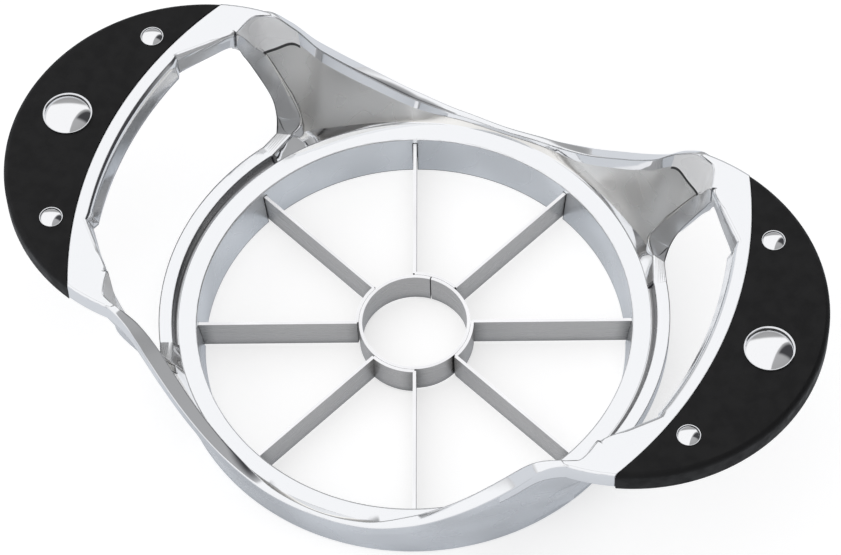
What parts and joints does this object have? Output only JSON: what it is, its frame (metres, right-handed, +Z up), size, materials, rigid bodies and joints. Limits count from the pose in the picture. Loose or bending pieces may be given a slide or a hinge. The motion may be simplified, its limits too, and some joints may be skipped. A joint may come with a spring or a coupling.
{
  "type": "apple slicer wedger press",
  "caption": "Round apple corer and wedger pushed down by hand: a cast ring with radial blades and a core tube, flared rails and two raised handles with riveted crescent grips.",
  "frame": {"origin": "middle of the ring, on the table under its foot", "axes": "+X along the length to the right handle, +Y across the rails to the back, +Z up out of the ring"},
  "size_m": [0.176, 0.1046, 0.0463],
  "materials": {
    "cast_chrome": "bright chrome plate over a smooth die casting",
    "blade_steel": "rolled stainless strip with ground edges",
    "grip": "matte with a fine moulded grain",
    "rivet_chrome": "polished dome"
  },
  "bodies": {
    "root": {"frame": "cast_chrome", "core_tube": "blade_steel", "blade_strip_right": "blade_steel", "blade_strip_back": "blade_steel", "blade_strip_left": "blade_steel", "blade_strip_front": "blade_steel", "grip_upper_right": "grip", "grip_lower_right": "grip", "grip_upper_left": "grip", "grip_lower_left": "grip", "rivet_heads_large": "rivet_chrome", "rivet_backs_large": "rivet_chrome", "rivet_heads_small": "rivet_chrome", "rivet_backs_small": "rivet_chrome"}
  },
  "joints": []
}
